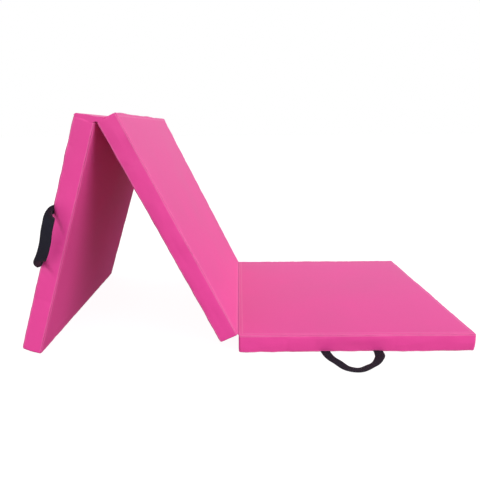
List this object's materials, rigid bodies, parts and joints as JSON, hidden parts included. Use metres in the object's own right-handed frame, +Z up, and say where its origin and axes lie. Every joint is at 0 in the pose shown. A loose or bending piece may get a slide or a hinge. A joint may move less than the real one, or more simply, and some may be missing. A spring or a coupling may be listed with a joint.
{
  "type": "folding exercise mat",
  "caption": "Tri-fold padded gym mat: flat foam panels in sewn, zipped covers, joined by fabric hinges, with webbing carry handles.",
  "frame": {"origin": "centre of the base panel's underside, on the floor", "axes": "+Z up; +X along the mat, from the folded panels to the base panel's free end; -Y is the side with the carry handles"},
  "size_m": [1.1663, 0.713, 0.5977],
  "materials": {
    "coated_cloth": "satin",
    "foam": "matte",
    "webbing": "matte",
    "zip_tape": "matte",
    "zip_coil": "satin",
    "zip_metal": "satin"
  },
  "bodies": {
    "base": {"base_foam_core": "foam", "base_top_sheet": "coated_cloth", "base_bottom_sheet": "coated_cloth", "base_side_border": "coated_cloth", "base_back_border_upper": "coated_cloth", "base_back_border_lower": "coated_cloth", "base_zip_tape_upper": "zip_tape", "base_zip_tape_lower": "zip_tape", "base_zip_coil": "zip_coil", "base_zip_end_stops": "zip_metal", "base_handle_sewn_ends": "webbing", "lower_hinge_strip": "coated_cloth"},
    "middle": {"middle_foam_core": "foam", "middle_top_sheet": "coated_cloth", "middle_bottom_sheet": "coated_cloth", "middle_side_border": "coated_cloth", "middle_back_border_upper": "coated_cloth", "middle_back_border_lower": "coated_cloth", "middle_zip_tape_upper": "zip_tape", "middle_zip_tape_lower": "zip_tape", "middle_zip_coil": "zip_coil", "middle_zip_end_stops": "zip_metal"},
    "end": {"end_foam_core": "foam", "end_top_sheet": "coated_cloth", "end_bottom_sheet": "coated_cloth", "end_side_border": "coated_cloth", "end_back_border_upper": "coated_cloth", "end_back_border_lower": "coated_cloth", "end_zip_tape_upper": "zip_tape", "end_zip_tape_lower": "zip_tape", "end_zip_coil": "zip_coil", "end_zip_end_stops": "zip_metal", "end_handle_sewn_ends": "webbing", "upper_hinge_strip": "coated_cloth"},
    "base_handle": {"base_handle_strap": "webbing"},
    "end_handle": {"end_handle_strap": "webbing"},
    "base_slider": {"base_zip_slider": "zip_metal"},
    "base_pull": {"base_zip_pull": "zip_metal"},
    "middle_slider": {"middle_zip_slider": "zip_metal"},
    "middle_pull": {"middle_zip_pull": "zip_metal"},
    "end_slider": {"end_zip_slider": "zip_metal"},
    "end_pull": {"end_zip_pull": "zip_metal"}
  },
  "joints": [
    {"name": "lower_fold", "type": "hinge", "parent": "base", "child": "middle", "pos_m": [-0.305, 0, 0.0506], "axis": [0, 1, 0], "range_deg": [-64, 116], "deforming": ["lower_hinge_strip"]},
    {"name": "upper_fold", "type": "hinge", "parent": "middle", "child": "end", "pos_m": [-0.61843, 0, 0.57642], "axis": [0, 1, 0], "range_deg": [-44.77, 135.23], "deforming": ["upper_hinge_strip"]},
    {"name": "base_handle_swing", "type": "hinge", "parent": "base", "child": "base_handle", "pos_m": [0, -0.3059, 0.0018], "axis": [-1, 0, 0], "range_deg": [-90, 75]},
    {"name": "end_handle_swing", "type": "hinge", "parent": "end", "child": "end_handle", "pos_m": [-0.76277, -0.3059, 0.30334], "axis": [-0.3218, 0, -0.9468], "range_deg": [-40, 88]},
    {"name": "base_zip_slide", "type": "slide", "parent": "base", "child": "base_slider", "axis": [1, 0, 0], "range_m": [0, 0.52]},
    {"name": "base_pull_swing", "type": "hinge", "parent": "base_slider", "child": "base_pull", "pos_m": [-0.262, 0.3084, 0.025], "axis": [0, 0, -1], "range_deg": [0, 170]},
    {"name": "middle_zip_slide", "type": "slide", "parent": "middle", "child": "middle_slider", "axis": [-0.4384, 0, 0.8988], "range_m": [0, 0.52]},
    {"name": "middle_pull_swing", "type": "hinge", "parent": "middle_slider", "child": "middle_pull", "pos_m": [-0.34686, 0.3084, 0.07803], "axis": [0.8988, 0, 0.4384], "range_deg": [0, 170]},
    {"name": "end_zip_slide", "type": "slide", "parent": "end", "child": "end_slider", "axis": [0.3218, 0, 0.9468], "range_m": [0, 0.52]},
    {"name": "end_pull_swing", "type": "hinge", "parent": "end_slider", "child": "end_pull", "pos_m": [-0.8251, 0.3084, 0.04781], "axis": [0.9468, 0, -0.3218], "range_deg": [0, 170]}
  ]
}
